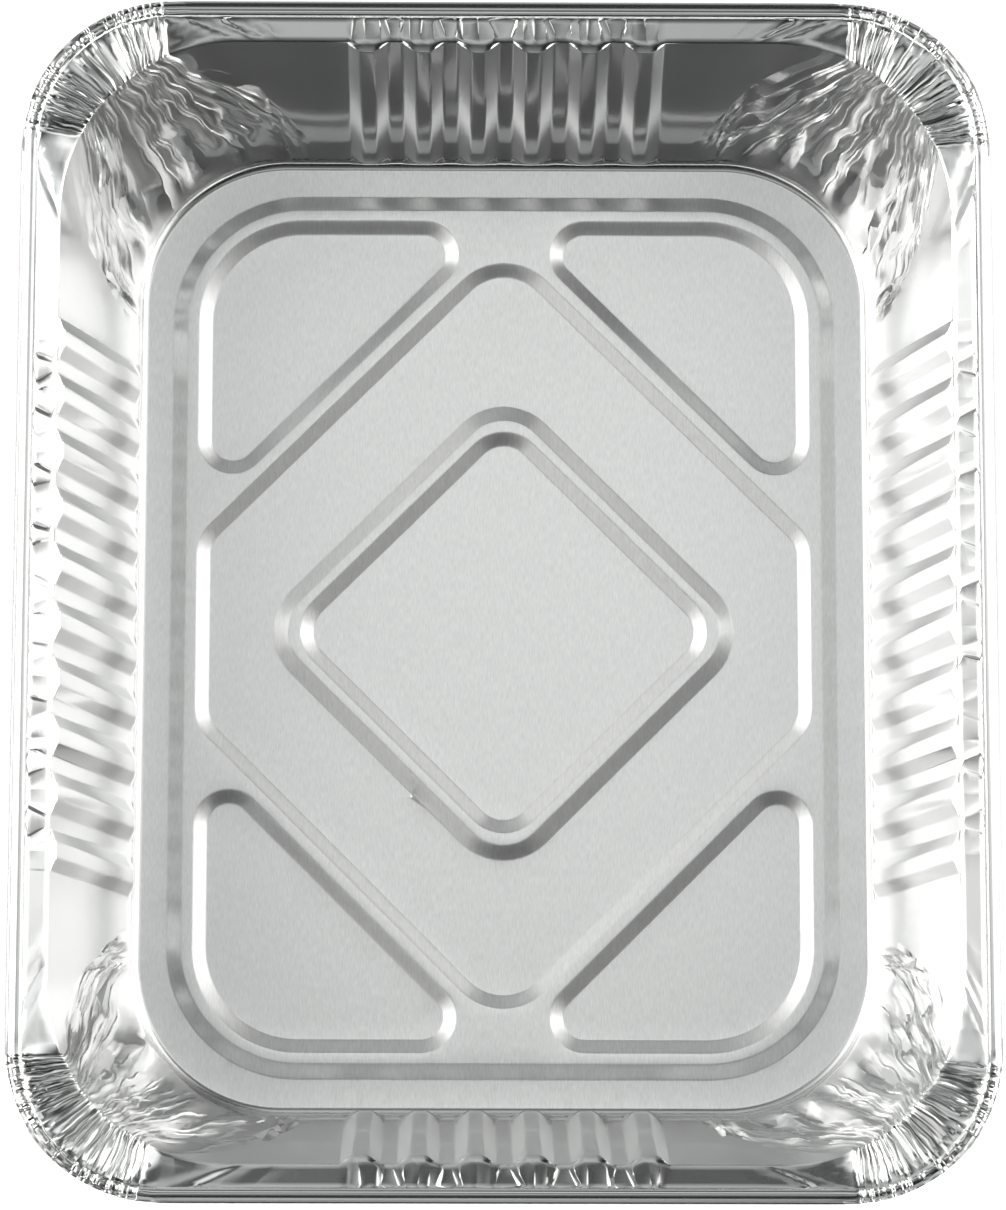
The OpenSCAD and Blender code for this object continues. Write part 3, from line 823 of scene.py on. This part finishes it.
def keep_sharp(mesh, angle=34):
    """At each corner of a face: the mean normal of the faces round its vertex that bend less than the angle."""
    co = np.empty(len(mesh.vertices) * 3)
    mesh.vertices.foreach_get("co", co)
    co = co.reshape(-1, 3)
    corner = np.empty(len(mesh.loops), int)
    mesh.loops.foreach_get("vertex_index", corner)
    start, total = np.empty(len(mesh.polygons), int), np.empty(len(mesh.polygons), int)
    mesh.polygons.foreach_get("loop_start", start)
    mesh.polygons.foreach_get("loop_total", total)
    face_of = np.repeat(np.arange(len(start)), total)
    following = np.arange(len(corner)) + 1
    following[start + total - 1] = start
    cross = np.cross(co[corner], co[corner[following]])
    area = np.stack([np.bincount(face_of, cross[:, k], len(start)) for k in range(3)], 1) / MM ** 2
    # a face counts by the square root of its area
    area /= np.sqrt(np.linalg.norm(area, axis=1, keepdims=True)) + 1e-9
    unit = area / (np.linalg.norm(area, axis=1, keepdims=True) + 1e-12)
    order = np.argsort(corner, kind="stable")
    first = np.searchsorted(corner[order], np.arange(len(co) + 1))
    valence = np.diff(first)
    normal = np.zeros((len(corner), 3))
    for n in np.unique(valence[valence > 0]):
        loops = order[first[np.where(valence == n)[0]][:, None] + np.arange(n)[None, :]]
        f = face_of[loops]
        near = np.einsum("vik,vjk->vij", unit[f], unit[f]) > math.cos(math.radians(angle))
        normal[loops] = np.einsum("vij,vjk->vik", near.astype(float), area[f])
    normal /= np.linalg.norm(normal, axis=1, keepdims=True) + 1e-12
    mesh.normals_split_custom_set(normal.tolist())


def put(tree, value, socket):
    """A number or colour goes on the socket, an output is linked to it."""
    if isinstance(value, bpy.types.NodeSocket):
        tree.links.new(value, socket)
    else:
        socket.default_value = value


def math_node(tree, op, *values):
    made = tree.nodes.new("ShaderNodeMath")
    made.operation = op
    for value, socket in zip(values, made.inputs):
        put(tree, value, socket)
    return made.outputs[0]


def range_node(tree, value, lo, hi, at_lo=0.0, at_hi=1.0):
    made = tree.nodes.new("ShaderNodeMapRange")
    sockets = [made.inputs[name] for name in ("Value", "From Min", "From Max", "To Min", "To Max")]
    for given, socket in zip((value, lo, hi, at_lo, at_hi), sockets):
        put(tree, given, socket)
    return made.outputs[0]


def mix_colours(tree, factor, first, second):
    made = tree.nodes.new("ShaderNodeMix")
    made.data_type = "RGBA"
    for socket, value in ((0, factor), (6, first), (7, second)):
        put(tree, value, made.inputs[socket])
    return made.outputs[2]


def new_tree(owner):
    """The emptied node tree of a new material or world."""
    owner.use_nodes = True
    owner.node_tree.nodes.clear()
    return owner.node_tree


def from_floor_middle(tree, place):
    """Distance from the floor's inner box, so that the floor's outline lies at its corner radius."""
    last = place
    for op, value in (("ABSOLUTE", None), ("SUBTRACT", ((FLOOR_W - FLOOR_R) * MM, (FLOOR_L - FLOOR_R) * MM, 0)),
                      ("MAXIMUM", (0, 0, 0)), ("MULTIPLY", (1, 1, 0)), ("LENGTH", None)):
        made = tree.nodes.new("ShaderNodeVectorMath")
        made.operation = op
        put(tree, last, made.inputs[0])
        if value is not None:
            made.inputs[1].default_value = value
        last = made.outputs["Value" if op == "LENGTH" else "Vector"]
    return last


def rolling_grain(tree, place, share):
    """Short streaks along Y, from -0.5 to 0.5 times the share."""
    stretch = tree.nodes.new("ShaderNodeMapping")
    stretch.inputs["Scale"].default_value = (2600, 420, 420)
    put(tree, place, stretch.inputs["Vector"])
    noise = tree.nodes.new("ShaderNodeTexNoise")
    for name, value in (("Vector", stretch.outputs[0]), ("Scale", 1.0), ("Detail", 4.0), ("Roughness", 0.62)):
        put(tree, value, noise.inputs[name])
    return math_node(tree, "MULTIPLY", math_node(tree, "SUBTRACT", noise.outputs["Fac"], 0.5), share)


def dull_slopes(tree, place):
    """1 on the ring's stretched slopes along both long sides, 0 elsewhere."""
    axes = tree.nodes.new("ShaderNodeSeparateXYZ")
    put(tree, place, axes.inputs[0])
    inner = RING_W - RING_SLOPE
    straight = RING_L - RING_R
    dull = 1.0
    for axis, lo, hi in ((0, inner - 0.8, inner + 0.4), (0, RING_W + 0.8, RING_W - 0.2),
                         (1, straight - 2.0, straight - 18.0)):
        far = math_node(tree, "ABSOLUTE", axes.outputs[axis])
        dull = math_node(tree, "MULTIPLY", dull, range_node(tree, far, lo * MM, hi * MM))
    return dull


def foil_material():
    mat = bpy.data.materials.new("foil")
    tree = new_tree(mat)
    place = tree.nodes.new("ShaderNodeTexCoord").outputs["Object"]
    # the drawn walls are bright and the floor is satin: the change follows the floor's outline
    far = from_floor_middle(tree, place)
    edge = ((FLOOR_R - 0.1) * MM, (FLOOR_R + 0.9) * MM)
    grain = rolling_grain(tree, place, range_node(tree, far, *edge, 1.0, 0.18))
    rough = math_node(tree, "MULTIPLY_ADD", grain, 0.1, range_node(tree, far, *edge, 0.33, 0.17))
    rough = math_node(tree, "MULTIPLY_ADD", dull_slopes(tree, place), 0.2, rough)
    tone = range_node(tree, grain, -0.25, 0.25)
    colour = mix_colours(tree, tone, (0.80, 0.81, 0.81, 1), (0.98, 0.98, 0.98, 1))
    bump = tree.nodes.new("ShaderNodeBump")
    for name, value in (("Strength", 0.3), ("Distance", 0.00003), ("Height", grain)):
        put(tree, value, bump.inputs[name])
    # the sheet is rolled along Y, so it scatters light across X
    across = tree.nodes.new("ShaderNodeCombineXYZ")
    across.inputs[0].default_value = 1.0
    shader = tree.nodes.new("ShaderNodeBsdfPrincipled")
    for name, value in (("Metallic", 1.0), ("Base Color", colour), ("Roughness", rough),
                        ("Anisotropic", range_node(tree, far, *edge, 0.8, 0.9)), ("Tangent", across.outputs[0]),
                        ("Normal", bump.outputs[0])):
        put(tree, value, shader.inputs[name])
    put(tree, shader.outputs[0], tree.nodes.new("ShaderNodeOutputMaterial").inputs[0])
    return mat


def add_pan():
    mesh = pan_mesh()
    keep_sharp(mesh)
    mesh.materials.append(foil_material())
    pan = bpy.data.objects.new("foil_pan_sheet", mesh)
    scene.collection.objects.link(pan)
    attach(pan, "root")
    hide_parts("foil_pan")


def add_ground():
    """Plain pale ground. The camera and mirrored rays see it lit up, so that it comes out white."""
    bpy.ops.mesh.primitive_plane_add(size=6.0, location=(0, 0, -0.0001))
    ground = bpy.context.object
    ground.name = "studio_floor"
    mat = bpy.data.materials.new("studio_floor")
    tree = new_tree(mat)
    plain = tree.nodes.new("ShaderNodeBsdfDiffuse")
    plain.inputs["Color"].default_value = (0.86, 0.86, 0.86, 1)
    glow = tree.nodes.new("ShaderNodeEmission")
    glow.inputs["Color"].default_value = (1, 1, 1, 1)
    glow.inputs["Strength"].default_value = 0.55
    lit = tree.nodes.new("ShaderNodeAddShader")
    put(tree, plain.outputs[0], lit.inputs[0])
    put(tree, glow.outputs[0], lit.inputs[1])
    rays = tree.nodes.new("ShaderNodeLightPath")
    seen = math_node(tree, "MAXIMUM", rays.outputs["Is Camera Ray"], rays.outputs["Is Glossy Ray"])
    mixed = tree.nodes.new("ShaderNodeMixShader")
    for value, socket in zip((seen, plain.outputs[0], lit.outputs[0]), mixed.inputs):
        put(tree, value, socket)
    put(tree, mixed.outputs[0], tree.nodes.new("ShaderNodeOutputMaterial").inputs[0])
    ground.data.materials.append(mat)


# The studio's light lies in bands from the near end (-1) to the far end (+1), each with its strength at seven
# angles from the pan's left side over the top (0 degrees) to its right side. The levels were first fitted to
# the photograph's tones and then changed.
ANGLES = (-78, -52, -26, 0, 26, 52, 78)
BANDS = [
    (-0.85, (3.22, 0.13, 0.00, 0.01, 0.00, 0.00, 4.00)),
    (-0.5, (0.40, 0.00, 0.12, 0.17, 0.00, 0.00, 0.45)),
    (-0.28, (3.50, 1.30, 0.34, 0.57, 0.00, 0.50, 3.50)),
    (-0.1, (3.40, 2.08, 0.00, 0.00, 0.00, 1.09, 4.00)),
    (0.05, (0.09, 4.00, 0.07, 0.57, 0.11, 1.95, 1.78)),
    (0.18, (0.00, 3.35, 0.31, 0.77, 1.08, 2.70, 0.00)),
    (0.3, (0.00, 3.70, 0.95, 0.05, 1.15, 2.20, 0.94)),
    (0.42, (4.00, 2.55, 0.32, 0.05, 0.00, 1.70, 4.00)),
    (0.6, (1.04, 1.35, 0.32, 0.04, 0.00, 1.66, 0.00)),
    (0.85, (0.56, 0.57, 0.25, 0.64, 0.00, 0.00, 0.00)),
]
BRIGHTEST = 4.2


def light_band(tree, share, across, i):
    """One band: its levels along the angles, fading to nothing at the two bands beside it."""
    at, levels = BANDS[i]
    ramp = tree.nodes.new("ShaderNodeValToRGB")
    stops = ramp.color_ramp.elements
    while len(stops) < len(levels):
        stops.new(0.5)
    for stop, angle, level in zip(stops, ANGLES, levels):
        stop.position = angle / (2 * ANGLES[-1]) + 0.5
        stop.color = (level / BRIGHTEST, level / BRIGHTEST, level / BRIGHTEST, 1)
    put(tree, share, ramp.inputs[0])
    band = ramp.outputs[0]
    for k in (i - 1, i + 1):
        if 0 <= k < len(BANDS):
            band = math_node(tree, "MULTIPLY", band, range_node(tree, across, BANDS[k][0], at))
    return band


def add_light():
    world = bpy.data.worlds.new("studio")
    scene.world = world
    tree = new_tree(world)
    axes = tree.nodes.new("ShaderNodeSeparateXYZ")
    put(tree, tree.nodes.new("ShaderNodeTexCoord").outputs["Generated"], axes.inputs[0])
    x, y, z = axes.outputs
    angle = math_node(tree, "ARCTAN2", x, z)
    share = math_node(tree, "MULTIPLY_ADD", angle, 1 / math.radians(2 * ANGLES[-1]), 0.5)
    total = light_band(tree, share, y, 0)
    for i in range(1, len(BANDS)):
        total = math_node(tree, "ADD", total, light_band(tree, share, y, i))
    sky = tree.nodes.new("ShaderNodeBackground")
    put(tree, math_node(tree, "MULTIPLY", total, BRIGHTEST * 1.05), sky.inputs["Strength"])
    # a little warmer from both long sides
    warm = range_node(tree, math_node(tree, "ABSOLUTE", x), 0.3, 0.65)
    put(tree, mix_colours(tree, warm, (0.97, 1.0, 0.99, 1), (1.0, 0.99, 0.965, 1)), sky.inputs["Color"])
    put(tree, sky.outputs[0], tree.nodes.new("ShaderNodeOutputWorld").inputs[0])


add_pan()
add_ground()
add_light()
